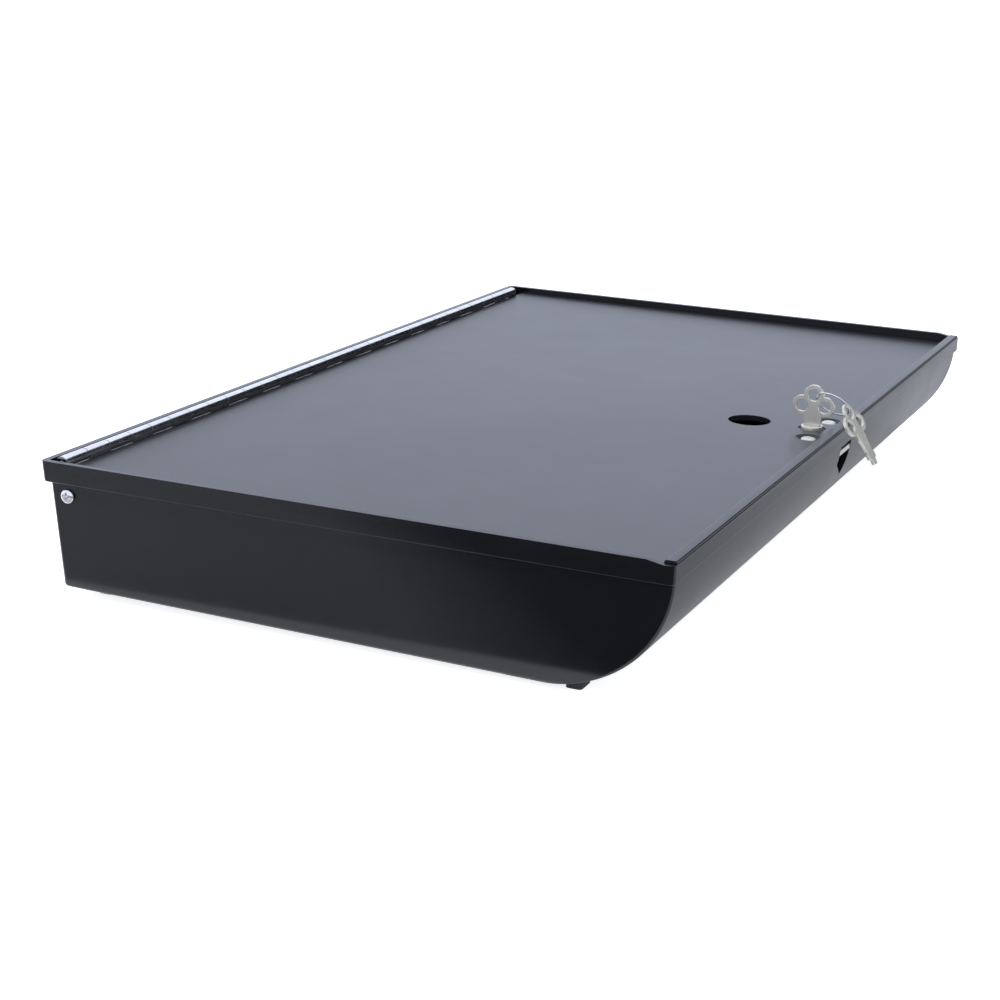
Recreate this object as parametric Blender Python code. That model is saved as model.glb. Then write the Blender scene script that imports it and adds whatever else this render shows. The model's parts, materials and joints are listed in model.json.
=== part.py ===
"""Lockable flip-top cash drawer: moulded tray, piano-hinged lid, cam lock and two trefoil keys.

Frame: metres, +X along the width (and the hinge), the curved front faces -Y, +Z up.
The origin is under the middle of the whole assembly, on the surface that the feet stand on.
"""
import math

import bmesh
import bpy
from mathutils import Matrix, Vector

# ---- driving dimensions (metres) ----
WIDTH = 0.460
DEPTH = 0.2697
BODY_HEIGHT = 0.0567
FOOT_HEIGHT = 0.0025
GAP = 0.0003

# ---- main planes ----
HALF_W = WIDTH / 2
FRONT_Y = -0.12784
REAR_Y = FRONT_Y + DEPTH
FLOOR_Z = FOOT_HEIGHT
RIM_Z = FLOOR_Z + BODY_HEIGHT

# ---- tray shell ----
WALL = 0.0024
RIM_WALL = 0.0026
BAND_HEIGHT = 0.0086
BAND_Z = RIM_Z - BAND_HEIGHT
BAND_CHAMFER = 0.0006
INNER_LEDGE_Z = RIM_Z - 0.0074
SIDE_STEP = 0.0028
REAR_STEP = 0.0023
REAR_BAND_DRAFT = 0.0009
FRONT_STEP = 0.0009
SIDE_DRAFT = 0.0040
REAR_DRAFT = 0.0021
UNDERSIDE_RISE = 0.0022
CURVE_RADIUS_Y = 0.0520
CURVE_RADIUS_Z = 0.0507
CURVE_Y = FRONT_Y + FRONT_STEP + CURVE_RADIUS_Y
CURVE_Z = FLOOR_Z + CURVE_RADIUS_Z
CURVE_STEPS = 14
EDGE_RADIUS = 0.0015
CORNER_RADIUS = 0.0022
INNER_CORNER_TRIM = 0.0008
LIP_DROP = 0.0012
LIP_RAMP_FRONT = 0.0043
LIP_RAMP_REAR = 0.0107
RELIEF_DEPTH = 0.0003
RELIEF_X = (-0.203, 0.147)
CUT_MARGIN = 0.002

# ---- slot for the lock's cam in the curved front ----
SLOT_X = (-0.0056, 0.0116)
SLOT_TOP = RIM_Z - 0.0098
SLOT_LEFT_BOTTOM = RIM_Z - 0.0184
SLOT_RIGHT_BOTTOM = RIM_Z - 0.0272

# ---- lid ----
LID_THICK = 0.0025
LID_EDGE = 0.0005
LIP_EDGE = 0.0004
LIP_BASE_R = 0.0008
LID_HALF_W = HALF_W - RIM_WALL - 0.0006
LID_REAR_Z = RIM_Z - 0.0027
LID_FRONT_Z = RIM_Z - 0.0043
LID_LIP_TOP = RIM_Z - 0.0001
LID_LIP_FRONT = FRONT_Y + 0.0002
RISER_FRONT = FRONT_Y + RIM_WALL + 0.0004
RISER_REAR = RISER_FRONT + 0.0022
FINGER_HOLE = (-0.001, FRONT_Y + 0.0458, 0.0097)

# ---- hinge ----
HINGE_X = -0.0048
HINGE_Y = REAR_Y - 0.0075
HINGE_Z = RIM_Z - 0.0012
BARREL_R = 0.0028
PIN_R = 0.0010
PIN_HOLE_R = 0.0014
BARREL_HALF = 0.221
LEAF_HALF = 0.2140
KNUCKLES = 29
LEAF_THICK = 0.0007
LEAF_BOTTOM = RIM_Z - 0.0168
LEAF_TOP = HINGE_Z - BARREL_R - 0.0004
MOVING_LEAF_Y = HINGE_Y - BARREL_R
FIXED_LEAF_Y = MOVING_LEAF_Y + LEAF_THICK + GAP
WEB_Y = FIXED_LEAF_Y + LEAF_THICK + GAP
WEB_THICK = 0.0009
FLANGE_REAR = MOVING_LEAF_Y - GAP
FLANGE_THICK = 0.0022
LID_REAR_Y = HINGE_Y - BARREL_R - 0.0008
RIVET_R = 0.0012
RIVET_COUNT = 6
RIVET_PITCH = 0.076
RAIL_RIVET_Z = RIM_Z - 0.0066
LID_RIVET_Z = RIM_Z - 0.0115

# ---- rail end screws ----
TAB_OUTER_X = 0.2234
TAB_THICK = 0.0010
TAB_FRONT = 0.0055
TAB_NOTCH = 0.0060
SCREW_Y = REAR_Y - 0.0112
SCREW_Z = RIM_Z - 0.0140
SCREW_R = 0.0015
SCREW_HEAD_R = 0.0030
SCREW_HEAD_HEIGHT = 0.0019
SCREW_RECESS = (0.0016, 0.0004)

# ---- lock ----
LOCK_Y = FRONT_Y + 0.0166
LID_AT_LOCK = RIM_Z - 0.0043
LOCK_HOLE_R = 0.0062
LOCK_BODY_R = 0.0059
LOCK_SHOULDER_R = 0.0080
LOCK_BORE_R = 0.0053
PLUG_R = 0.0050
PLUG_RISE = 0.0016
STUB_R = 0.0030
LOCK_SHOULDER_THICK = 0.0012
LOCK_BOTTOM = RIM_Z - 0.0152
CAM_TOP = RIM_Z - 0.0158
CAM_THICK = 0.0015
CAM_LENGTH = 0.0152
CAM_HALF_W = 0.0045
CAM_CORNER_R = 0.0015
CAM_SCREW_R = 0.0012
LOCK_PLATE_THICK = 0.0012
LOCK_PLATE_HALF_W = 0.0225
LOCK_PLATE_HALF_D = 0.0099
LOCK_NUT_THICK = 0.0020
LOCK_NUT_R = 0.0092
LOCK_RIVET_X = 0.0168
LOCK_RIVET_Y = FRONT_Y + 0.0134
LOCK_RIVET_R = 0.0015
LOCK_RIVET_HEAD_R = 0.0035
LOCK_RIVET_HEAD = 0.0014
DISH_R = 0.0058
DISH_FLOOR_R = 0.0037
DISH_DEPTH = 0.0015

# ---- strike behind the cam slot ----
STRIKE_X = (-0.0150, 0.0210)
STRIKE_Z = (RIM_Z - 0.0150, RIM_Z - 0.0078)
STRIKE_THICK = 0.0010
STRIKE_LIP_Z = (RIM_Z - 0.0140, RIM_Z - 0.0119)
STRIKE_SCREWS = (("strike_screw_left", -0.0105), ("strike_screw_right", 0.0165))
STRIKE_SCREW_Z = RIM_Z - 0.0114
STRIKE_SCREW_R = 0.0012

# ---- keys ----
KEY_THICK = 0.0014
LOBE_R = 0.00465
LOBE_OFFSET = 0.00515
KEY_HOLE_R = 0.00275
KEY_NECK_HALF = 0.0040
KEY_SHANK_HALF = 0.0033
KEY_SHANK_END_HALF = 0.0029
KEY_BIT_HALF = 0.0038
KEY_TIP_HALF = 0.0019
KEY_NECK_END = 0.0140
KEY_BIT_TOP = 0.0198
KEY_BIT_END = 0.0230
KEY_LENGTH = 0.0256
KEY_TOP_Z = RIM_Z + 0.0112
RING_R = 0.0078
RING_WIRE_R = 0.00045
RING_NORMAL = Vector((0.704, -0.194, 0.683))
RING_CENTRE = Vector((0.00057, FRONT_Y + 0.00802, RIM_Z + 0.00792))
SPARE_LEAN = math.radians(32.8)
SPARE_TWIST = math.radians(84.8)
SPARE_YAW = math.radians(-1.8)
SPARE_HOLE = Vector((0.00167, FRONT_Y + 0.00056, RIM_Z + 0.00416))

# ---- inside ----
INNER_FLOOR = FLOOR_Z + WALL
DIVIDER_TOP = RIM_Z - 0.0220
DIVIDER_THICK = 0.0018
CROSS_WALL_Y = FRONT_Y + 0.0860
COIN_PITCH = 0.056
COIN_DIVIDERS = 7
NOTE_PITCH = 0.089
NOTE_DIVIDERS = 4

# ---- feet ----
FOOT_HALF_X = 0.0050
FOOT_HALF_Y = 0.0033
FOOT_CORNER_R = 0.0014
FOOT_FRONT_X = 0.2120
FOOT_REAR_X = 0.2070
FOOT_FRONT_Y = FRONT_Y + 0.0414
FOOT_REAR_Y = REAR_Y - 0.0170


# ---- materials ----
def make_material(name, colour, roughness, metallic=0.0):
    material = bpy.data.materials.new(name)
    material.use_nodes = True
    shader = material.node_tree.nodes["Principled BSDF"]
    shader.inputs["Base Color"].default_value = (*colour, 1.0)
    shader.inputs["Roughness"].default_value = roughness
    shader.inputs["Metallic"].default_value = metallic
    return material


# ---- mesh helpers ----
def new_object(name, mesh_data, material, parent=None):
    bmesh.ops.recalc_face_normals(mesh_data, faces=mesh_data.faces)
    mesh = bpy.data.meshes.new(name)
    mesh_data.to_mesh(mesh)
    mesh_data.free()
    mesh.shade_smooth()
    mesh.set_sharp_from_angle(angle=math.radians(35))
    obj = bpy.data.objects.new(name, mesh)
    obj.data.materials.append(material)
    bpy.context.scene.collection.objects.link(obj)
    if parent is not None:
        obj.parent = parent
        obj.matrix_parent_inverse = parent.matrix_world.inverted()
    return obj


def box_mesh(low, high):
    data = bmesh.new()
    bmesh.ops.create_cube(data, size=1.0)
    low = Vector(low)
    high = Vector(high)
    for vert in data.verts:
        for axis in range(3):
            side = high[axis] if vert.co[axis] > 0 else low[axis]
            vert.co[axis] = side
    return data


def prism_mesh(outline, axis, start, end):
    """Extrude a closed outline along X, Y or Z; the outline's two numbers are the other two axes."""
    def place(pair, along):
        point = list(pair)
        point.insert("XYZ".index(axis), along)
        return point
    data = bmesh.new()
    first = [data.verts.new(place(pair, start)) for pair in outline]
    last = [data.verts.new(place(pair, end)) for pair in outline]
    data.faces.new(first)
    data.faces.new(last)
    count = len(outline)
    for i in range(count):
        j = (i + 1) % count
        data.faces.new((first[i], first[j], last[j], last[i]))
    return data


def turned_mesh(profile, centre, axis="Z", segments=24):
    """Spin a (radius, height) outline; the outline is closed, and may touch the axis."""
    data = bmesh.new()
    rings = []
    for radius, height in profile:
        if radius < 1e-7:
            rings.append([data.verts.new((0.0, 0.0, height))])
            continue
        ring = []
        for step in range(segments):
            angle = 2 * math.pi * step / segments
            ring.append(data.verts.new((radius * math.cos(angle), radius * math.sin(angle), height)))
        rings.append(ring)
    for index, ring in enumerate(rings):
        following = rings[(index + 1) % len(rings)]
        if len(ring) == 1 and len(following) == 1:
            continue
        for step in range(segments):
            after = (step + 1) % segments
            corners = [ring[step % len(ring)], ring[after % len(ring)]]
            corners += [following[after % len(following)], following[step % len(following)]]
            unique = list(dict.fromkeys(corners))
            data.faces.new(unique)
    turn = {"X": Matrix.Rotation(math.pi / 2, 4, "Y"),
            "Y": Matrix.Rotation(-math.pi / 2, 4, "X"),
            "Z": Matrix.Identity(4)}[axis]
    data.transform(Matrix.Translation(Vector(centre)) @ turn)
    return data


def rod_mesh(centre, radius, length, axis="Z", segments=24):
    return turned_mesh([(0.0, 0.0), (radius, 0.0), (radius, length), (0.0, length)],
                       centre, axis, segments)


def apply_boolean(obj, mesh_data, operation):
    """Cut or add a closed mesh, and keep only the result."""
    tool = new_object(obj.name + "_tool", mesh_data, obj.data.materials[0])
    modifier = obj.modifiers.new("boolean", "BOOLEAN")
    modifier.operation = operation
    modifier.solver = "EXACT"
    modifier.object = tool
    depsgraph = bpy.context.evaluated_depsgraph_get()
    result = bpy.data.meshes.new_from_object(obj.evaluated_get(depsgraph))
    obj.modifiers.clear()
    obj.data = result
    bpy.data.objects.remove(tool)


def cut(obj, mesh_data):
    apply_boolean(obj, mesh_data, "DIFFERENCE")


def fuse(obj, mesh_data):
    apply_boolean(obj, mesh_data, "UNION")


def arc(centre, radius, start, end, steps):
    """Points of an arc from start to end, in degrees."""
    points = []
    for step in range(steps + 1):
        angle = math.radians(start + (end - start) * step / steps)
        points.append((centre[0] + radius * math.cos(angle), centre[1] + radius * math.sin(angle)))
    return points


# ---- tray shell ----
def section_points(half_w, front, rear, radius):
    """One level of the tray: a rectangle with rounded corners."""
    corners = ((half_w - radius, front + radius, -90), (half_w - radius, rear - radius, 0),
               (radius - half_w, rear - radius, 90), (radius - half_w, front + radius, 180))
    points = []
    for x, y, start in corners:
        points += arc((x, y), radius, start, start + 90, 4)
    return points


def front_of(z, inset):
    """Y of the curved front at a height, for the outside (inset 0) or the inside."""
    drop = min(max(CURVE_Z - z, 0.0) / (CURVE_RADIUS_Z - inset), 1.0)
    return CURVE_Y - (CURVE_RADIUS_Y - inset) * math.sqrt(1 - drop ** 2)


def lifted(y, z):
    """Height after the slight climb of the underside towards the rear; the band stays level."""
    if z > BAND_Z:
        return z
    along = max(y - CURVE_Y, 0.0) / (REAR_Y - CURVE_Y)
    return z + UNDERSIDE_RISE * along * (BAND_Z - z) / (BAND_Z - FLOOR_Z)


def body_level(z, inset):
    """Half width, front and rear of the drafted body below the band."""
    drop = (BAND_Z - z) / (BAND_Z - FLOOR_Z)
    round_z = FLOOR_Z + inset + EDGE_RADIUS
    tuck = 0.0
    if z < round_z:
        ratio = min((round_z - z) / EDGE_RADIUS, 1.0)
        tuck = EDGE_RADIUS * (1 - math.sqrt(1 - ratio ** 2))
    half_w = HALF_W - SIDE_STEP - SIDE_DRAFT * drop - inset - tuck
    rear = REAR_Y - REAR_STEP - REAR_DRAFT * drop - inset - tuck
    return half_w, front_of(z, inset), rear, z


def body_levels(inset):
    """Levels from the band down to the floor, close together where the front curves under."""
    radius = CURVE_RADIUS_Z - inset
    start = math.asin((CURVE_Z - BAND_Z) / radius)
    levels = []
    for step in range(CURVE_STEPS + 1):
        angle = start + (math.pi / 2 - start) * step / CURVE_STEPS
        levels.append(body_level(CURVE_Z - radius * math.sin(angle), inset))
    return levels


def tray_skins():
    """Levels of the outside and of the inside, each from the rim down to the floor."""
    band_rear = REAR_Y - REAR_BAND_DRAFT
    outer = [(HALF_W, FRONT_Y, REAR_Y, RIM_Z), (HALF_W, FRONT_Y, band_rear, BAND_Z + BAND_CHAMFER),
             (HALF_W - BAND_CHAMFER, FRONT_Y + BAND_CHAMFER / 2, band_rear - BAND_CHAMFER / 2, BAND_Z)]
    outer += body_levels(0.0)
    rim = (HALF_W - RIM_WALL, FRONT_Y + RIM_WALL, REAR_Y - RIM_WALL)
    inner = [(*rim, RIM_Z), (*rim, INNER_LEDGE_Z)]
    inner += body_levels(WALL)
    return outer, inner


def build_tray(material):
    data = bmesh.new()

    def add_rings(levels, trim):
        rings = []
        for half_w, front, rear, z in levels:
            points = section_points(half_w, front, rear, CORNER_RADIUS - trim)
            rings.append([data.verts.new((x, y, lifted(y, z))) for x, y in points])
        return rings

    def bridge(first, second):
        count = len(first)
        for i in range(count):
            j = (i + 1) % count
            data.faces.new((first[i], first[j], second[j], second[i]))

    outer, inner = tray_skins()
    outer_rings = add_rings(outer, 0.0)
    inner_rings = add_rings(inner, INNER_CORNER_TRIM)
    for rings in (outer_rings, inner_rings):
        for first, second in zip(rings, rings[1:]):
            bridge(first, second)
        data.faces.new(rings[-1])
    bridge(outer_rings[0], inner_rings[0])
    tray = new_object("base_tray", data, material)
    cut_front_rim(tray)
    cut_cam_slot(tray)
    length = 0.008
    for start in (-HALF_W, HALF_W - length):
        cut(tray, rod_mesh((start, SCREW_Y, SCREW_Z), SCREW_R + GAP, length, "X", 16))
    return tray


def cut_front_rim(tray):
    """Lower the front rim for the lid's lip, with a ramp down along each side rim."""
    above = RIM_Z + CUT_MARGIN
    low = RIM_Z - LIP_DROP
    ahead = FRONT_Y - CUT_MARGIN
    outline = [(ahead, low), (FRONT_Y + LIP_RAMP_FRONT, low), (FRONT_Y + LIP_RAMP_REAR, RIM_Z),
               (FRONT_Y + LIP_RAMP_REAR, above), (ahead, above)]
    cut(tray, prism_mesh(outline, "X", -HALF_W - CUT_MARGIN, HALF_W + CUT_MARGIN))
    cut(tray, box_mesh((RELIEF_X[0], ahead, low - RELIEF_DEPTH),
                       (RELIEF_X[1], FRONT_Y + RIM_WALL + 0.001, above)))


def cut_cam_slot(tray):
    outline = [(SLOT_X[0], SLOT_TOP), (SLOT_X[0], SLOT_LEFT_BOTTOM),
               (SLOT_X[1], SLOT_RIGHT_BOTTOM), (SLOT_X[1], SLOT_TOP)]
    cut(tray, prism_mesh(outline, "Y", FRONT_Y - CUT_MARGIN, FRONT_Y + 0.012))


# ---- inside dividers ----
def build_cross_wall(material):
    foot = INNER_FLOOR + GAP
    half_top = body_level(DIVIDER_TOP, WALL)[0] - GAP
    half_low = body_level(foot + EDGE_RADIUS, WALL)[0] - GAP
    side = [(half_low - EDGE_RADIUS, foot), (half_low, foot + EDGE_RADIUS), (half_top, DIVIDER_TOP)]
    outline = side + [(-x, z) for x, z in reversed(side)]
    outline = [(x, lifted(CROSS_WALL_Y, z)) for x, z in outline]
    data = prism_mesh(outline, "Y", CROSS_WALL_Y - DIVIDER_THICK / 2, CROSS_WALL_Y + DIVIDER_THICK / 2)
    new_object("cross_wall", data, material)


def build_dividers(name, outline, count, pitch, material):
    """A row of equal plates, evenly spaced about the middle."""
    outline = [(y, lifted(y, z)) for y, z in outline]
    for index in range(count):
        x = (index - (count - 1) / 2) * pitch
        data = prism_mesh(outline, "X", x - DIVIDER_THICK / 2, x + DIVIDER_THICK / 2)
        new_object("%s_%d" % (name, index + 1), data, material)


def coin_outline():
    """Side view of a plate that follows the curved front, so each coin bay is a scoop."""
    inset = WALL + GAP
    rear = CROSS_WALL_Y - DIVIDER_THICK / 2 - GAP
    foot = FLOOR_Z + inset
    outline = []
    steps = 9
    start = math.asin((CURVE_Z - DIVIDER_TOP) / (CURVE_RADIUS_Z - inset))
    for step in range(steps + 1):
        angle = start + (math.pi / 2 - start) * step / steps
        z = CURVE_Z - (CURVE_RADIUS_Z - inset) * math.sin(angle)
        outline.append((front_of(z, inset), z))
    return outline + [(rear, foot), (rear, DIVIDER_TOP)]


def note_outline():
    front = CROSS_WALL_Y + DIVIDER_THICK / 2 + GAP
    foot = INNER_FLOOR + GAP
    rear_top = body_level(DIVIDER_TOP, WALL)[2] - GAP
    rear_low = body_level(foot + EDGE_RADIUS, WALL)[2] - GAP
    return [(front, foot), (rear_low - EDGE_RADIUS, foot), (rear_low, foot + EDGE_RADIUS),
            (rear_top, DIVIDER_TOP), (front, DIVIDER_TOP)]


# ---- lid ----
def lid_top(y):
    share = (y - RISER_REAR) / (LID_REAR_Y - RISER_REAR)
    return LID_FRONT_Z + (LID_REAR_Z - LID_FRONT_Z) * share


def build_lid(material, parent):
    """A panel with a raised front lip that rests on the lowered rim, and a rear flange for the hinge."""
    edge = LID_EDGE
    lip_low = RIM_Z - LIP_DROP + GAP
    outline = [(LID_REAR_Y, LID_REAR_Z - edge), (LID_REAR_Y - edge, LID_REAR_Z),
               (RISER_REAR + LIP_BASE_R, LID_FRONT_Z), (RISER_REAR, LID_FRONT_Z + LIP_BASE_R),
               (RISER_REAR, LID_LIP_TOP - edge), (RISER_REAR - edge, LID_LIP_TOP),
               (LID_LIP_FRONT + LIP_EDGE, LID_LIP_TOP), (LID_LIP_FRONT, LID_LIP_TOP - LIP_EDGE),
               (LID_LIP_FRONT, lip_low), (RISER_FRONT, lip_low),
               (RISER_FRONT, LID_FRONT_Z - LID_THICK + edge), (RISER_FRONT + edge, LID_FRONT_Z - LID_THICK),
               (LID_REAR_Y, LID_REAR_Z - LID_THICK)]
    lid = new_object("lid_panel", prism_mesh(outline, "X", -LID_HALF_W, LID_HALF_W), material, parent)
    flange = box_mesh((HINGE_X - LEAF_HALF, FLANGE_REAR - FLANGE_THICK, LEAF_BOTTOM),
                      (HINGE_X + LEAF_HALF, FLANGE_REAR, LID_REAR_Z - 0.001))
    fuse(lid, flange)
    x, y, radius = FINGER_HOLE
    below = LID_FRONT_Z - LID_THICK - CUT_MARGIN
    through = LID_THICK + 3 * CUT_MARGIN
    cut(lid, rod_mesh((x, y, below), radius, through, "Z", 40))
    cut(lid, rod_mesh((0.0, LOCK_Y, below), LOCK_HOLE_R, through, "Z", 28))
    surface = lid_top(LOCK_RIVET_Y)
    for side in (-1, 1):
        centre = (side * LOCK_RIVET_X, LOCK_RIVET_Y, surface)
        hole = LOCK_RIVET_R + GAP
        low = -LID_THICK - CUT_MARGIN
        dish = [(0.0, CUT_MARGIN), (DISH_R, CUT_MARGIN), (DISH_R, 0.0), (DISH_FLOOR_R, -DISH_DEPTH),
                (hole, -DISH_DEPTH), (hole, low), (0.0, low)]
        cut(lid, turned_mesh(dish, centre, "Z", 24))
    for rivet_x in rivet_positions():
        centre = (rivet_x, FLANGE_REAR - FLANGE_THICK - CUT_MARGIN, LID_RIVET_Z)
        cut(lid, rod_mesh(centre, RIVET_R + GAP, FLANGE_THICK + 2 * CUT_MARGIN, "Y", 12))
    return lid


def rivet_positions():
    return [(index - (RIVET_COUNT - 1) / 2) * RIVET_PITCH for index in range(RIVET_COUNT)]


# ---- hinge ----
def build_leaf(name, first, leaf_y, rivet_z, material, parent):
    """A plate with every second knuckle of the barrel rolled on it."""
    pitch = 2 * BARREL_HALF / KNUCKLES
    leaf = new_object(name, box_mesh((HINGE_X - LEAF_HALF, leaf_y, LEAF_BOTTOM),
                                     (HINGE_X + LEAF_HALF, leaf_y + LEAF_THICK, LEAF_TOP)), material, parent)
    neck_top = HINGE_Z if leaf_y < HINGE_Y - BARREL_R * 0.9 else HINGE_Z - BARREL_R * 0.8
    for index in range(first, KNUCKLES, 2):
        low = HINGE_X - BARREL_HALF + index * pitch + GAP / 2
        high = low + pitch - GAP
        knuckle = knuckle_mesh(low, high, leaf_y, neck_top)
        fuse(leaf, knuckle)
    cut(leaf, rod_mesh((HINGE_X - BARREL_HALF - CUT_MARGIN, HINGE_Y, HINGE_Z), PIN_HOLE_R,
                       2 * (BARREL_HALF + CUT_MARGIN), "X", 14))
    for rivet_x in rivet_positions():
        centre = (rivet_x, leaf_y - CUT_MARGIN, rivet_z)
        cut(leaf, rod_mesh(centre, RIVET_R + GAP, LEAF_THICK + 2 * CUT_MARGIN, "Y", 12))
    return leaf


def knuckle_mesh(low, high, leaf_y, neck_top):
    """Barrel ring's outline with the neck that joins it to the plate, as one extruded shape."""
    offset = (leaf_y - HINGE_Y, leaf_y + LEAF_THICK - HINGE_Y)
    start = -math.degrees(math.acos(max(offset[1] / BARREL_R, -1.0)))
    end = -180.0 if neck_top == HINGE_Z else -math.degrees(math.acos(offset[0] / BARREL_R))
    ring = arc((HINGE_Y, HINGE_Z), BARREL_R, start, 360 + end, 18)
    outline = ring + [(leaf_y, LEAF_TOP - 0.0006), (leaf_y + LEAF_THICK, LEAF_TOP - 0.0006)]
    return prism_mesh(outline, "X", low, high)


def build_hinge(material, lid_frame):
    build_leaf("hinge_leaf_fixed", 0, FIXED_LEAF_Y, RAIL_RIVET_Z, material, None)
    build_leaf("hinge_leaf_moving", 1, MOVING_LEAF_Y, LID_RIVET_Z, material, lid_frame)
    pin = rod_mesh((HINGE_X - BARREL_HALF, HINGE_Y, HINGE_Z), PIN_R, 2 * BARREL_HALF, "X", 14)
    new_object("hinge_pin", pin, material)


def rivet_mesh(x, z, tail_y, head_y, head_side):
    """A plain shank with a low domed head at one end, along Y."""
    length = abs(head_y - tail_y)
    dome = 0.0006
    profile = [(0.0, 0.0), (RIVET_R, 0.0), (RIVET_R, length), (RIVET_R + 0.0009, length),
               (RIVET_R + 0.0006, length + dome * 0.8), (0.0, length + dome)]
    data = turned_mesh(profile, (0.0, 0.0, 0.0), "Y", 12)
    if head_side < 0:
        data.transform(Matrix.Rotation(math.pi, 4, "Z"))
    data.transform(Matrix.Translation((x, tail_y, z)))
    return data


def build_rivets(material, lid_frame):
    rail_head = WEB_Y + WEB_THICK + GAP
    lid_head = FLANGE_REAR - FLANGE_THICK - GAP
    for index, x in enumerate(rivet_positions()):
        number = index + 1
        rail = rivet_mesh(x, RAIL_RIVET_Z, FIXED_LEAF_Y, rail_head, 1)
        new_object("rail_rivet_%d" % number, rail, material)
        lid = rivet_mesh(x, LID_RIVET_Z, MOVING_LEAF_Y + LEAF_THICK, lid_head, -1)
        new_object("lid_rivet_%d" % number, lid, material, lid_frame)


def build_rail(material):
    """Folded steel strip across the rear, with an end tab against each side wall."""
    rail = new_object("hinge_rail", box_mesh((-TAB_OUTER_X, WEB_Y, LEAF_BOTTOM),
                                             (TAB_OUTER_X, WEB_Y + WEB_THICK, LEAF_TOP - GAP)), material)
    cut_corner = TAB_OUTER_X - 0.006
    for side in (-1, 1):
        inner, outer = sorted((side * (TAB_OUTER_X - TAB_THICK), side * TAB_OUTER_X))
        fuse(rail, box_mesh((inner, SCREW_Y - TAB_FRONT, SCREW_Z - 0.0050),
                            (outer, WEB_Y + WEB_THICK / 2, SCREW_Z + 0.0050)))
        hole = (inner - CUT_MARGIN, SCREW_Y, SCREW_Z)
        cut(rail, rod_mesh(hole, SCREW_R + GAP, TAB_THICK + 2 * CUT_MARGIN, "X", 16))
        notch = sorted((side * cut_corner, side * (TAB_OUTER_X + 0.001)))
        cut(rail, box_mesh((notch[0], WEB_Y - CUT_MARGIN, SCREW_Z + TAB_NOTCH),
                           (notch[1], WEB_Y + CUT_MARGIN, RIM_Z)))
    for rivet_x in rivet_positions():
        centre = (rivet_x, WEB_Y - CUT_MARGIN, RAIL_RIVET_Z)
        cut(rail, rod_mesh(centre, RIVET_R + GAP, WEB_THICK + 2 * CUT_MARGIN, "Y", 12))


def build_rail_screws(material):
    seat = HALF_W - SIDE_STEP - SIDE_DRAFT * (BAND_Z - SCREW_Z) / (BAND_Z - FLOOR_Z) + GAP
    tip = TAB_OUTER_X - TAB_THICK - 0.0030
    top = seat + SCREW_HEAD_HEIGHT
    profile = [(0.0, tip), (SCREW_R, tip), (SCREW_R, seat), (SCREW_HEAD_R, seat),
               (SCREW_HEAD_R, top - 0.0012), (SCREW_HEAD_R * 0.82, top - 0.0005),
               (SCREW_HEAD_R * 0.45, top - 0.0001), (0.0, top)]
    for name, turn in (("rail_screw_left", math.pi), ("rail_screw_right", 0.0)):
        data = turned_mesh(profile, (0.0, 0.0, 0.0), "X", 24)
        data.transform(Matrix.Rotation(turn, 4, "Z"))
        data.transform(Matrix.Translation((0.0, SCREW_Y, SCREW_Z)))
        screw = new_object(name, data, material)
        side = -1 if turn else 1
        recess = sorted((side * (seat + 0.0007), side * (top + CUT_MARGIN)))
        for wide, tall in (SCREW_RECESS, tuple(reversed(SCREW_RECESS))):
            cut(screw, box_mesh((recess[0], SCREW_Y - wide, SCREW_Z - tall),
                                (recess[1], SCREW_Y + wide, SCREW_Z + tall)))


# ---- lock ----
def build_lock_body(material, parent):
    """Sleeve that fills the lid's hole from below, with a shoulder against the plate."""
    top = LID_AT_LOCK - GAP
    shoulder = LID_AT_LOCK - LID_THICK - LOCK_PLATE_THICK - 2 * GAP
    under = shoulder - LOCK_SHOULDER_THICK
    profile = [(LOCK_BORE_R, LOCK_BOTTOM), (LOCK_BODY_R, LOCK_BOTTOM), (LOCK_BODY_R, under),
               (LOCK_SHOULDER_R, under), (LOCK_SHOULDER_R, shoulder), (LOCK_BODY_R, shoulder),
               (LOCK_BODY_R, top), (LOCK_BORE_R, top)]
    new_object("lock_body", turned_mesh(profile, (0.0, LOCK_Y, 0.0), "Z", 28), material, parent)


def build_lock_nut(material, parent):
    shoulder = LID_AT_LOCK - LID_THICK - LOCK_PLATE_THICK - 2 * GAP - LOCK_SHOULDER_THICK
    low = shoulder - GAP - LOCK_NUT_THICK
    hexagon = arc((0.0, LOCK_Y), LOCK_NUT_R, 0, 300, 5)
    nut = new_object("lock_nut", prism_mesh(hexagon, "Z", low, low + LOCK_NUT_THICK), material, parent)
    cut(nut, rod_mesh((0.0, LOCK_Y, low - CUT_MARGIN), LOCK_BODY_R + GAP,
                      LOCK_NUT_THICK + 2 * CUT_MARGIN, "Z", 28))


def build_lock_plate(material, parent):
    """Steel plate under the lid that the two lock rivets hold."""
    top = LID_AT_LOCK - LID_THICK - GAP
    low = top - LOCK_PLATE_THICK
    outline = box_mesh((-LOCK_PLATE_HALF_W, LOCK_Y - LOCK_PLATE_HALF_D, low),
                       (LOCK_PLATE_HALF_W, LOCK_Y + LOCK_PLATE_HALF_D, top))
    plate = new_object("lock_plate", outline, material, parent)
    through = LOCK_PLATE_THICK + 2 * CUT_MARGIN
    cut(plate, rod_mesh((0.0, LOCK_Y, low - CUT_MARGIN), LOCK_BODY_R + GAP, through, "Z", 24))
    for side in (-1, 1):
        place = (side * LOCK_RIVET_X, LOCK_RIVET_Y, low - CUT_MARGIN)
        cut(plate, rod_mesh(place, LOCK_RIVET_R + GAP, through, "Z", 16))


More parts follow.
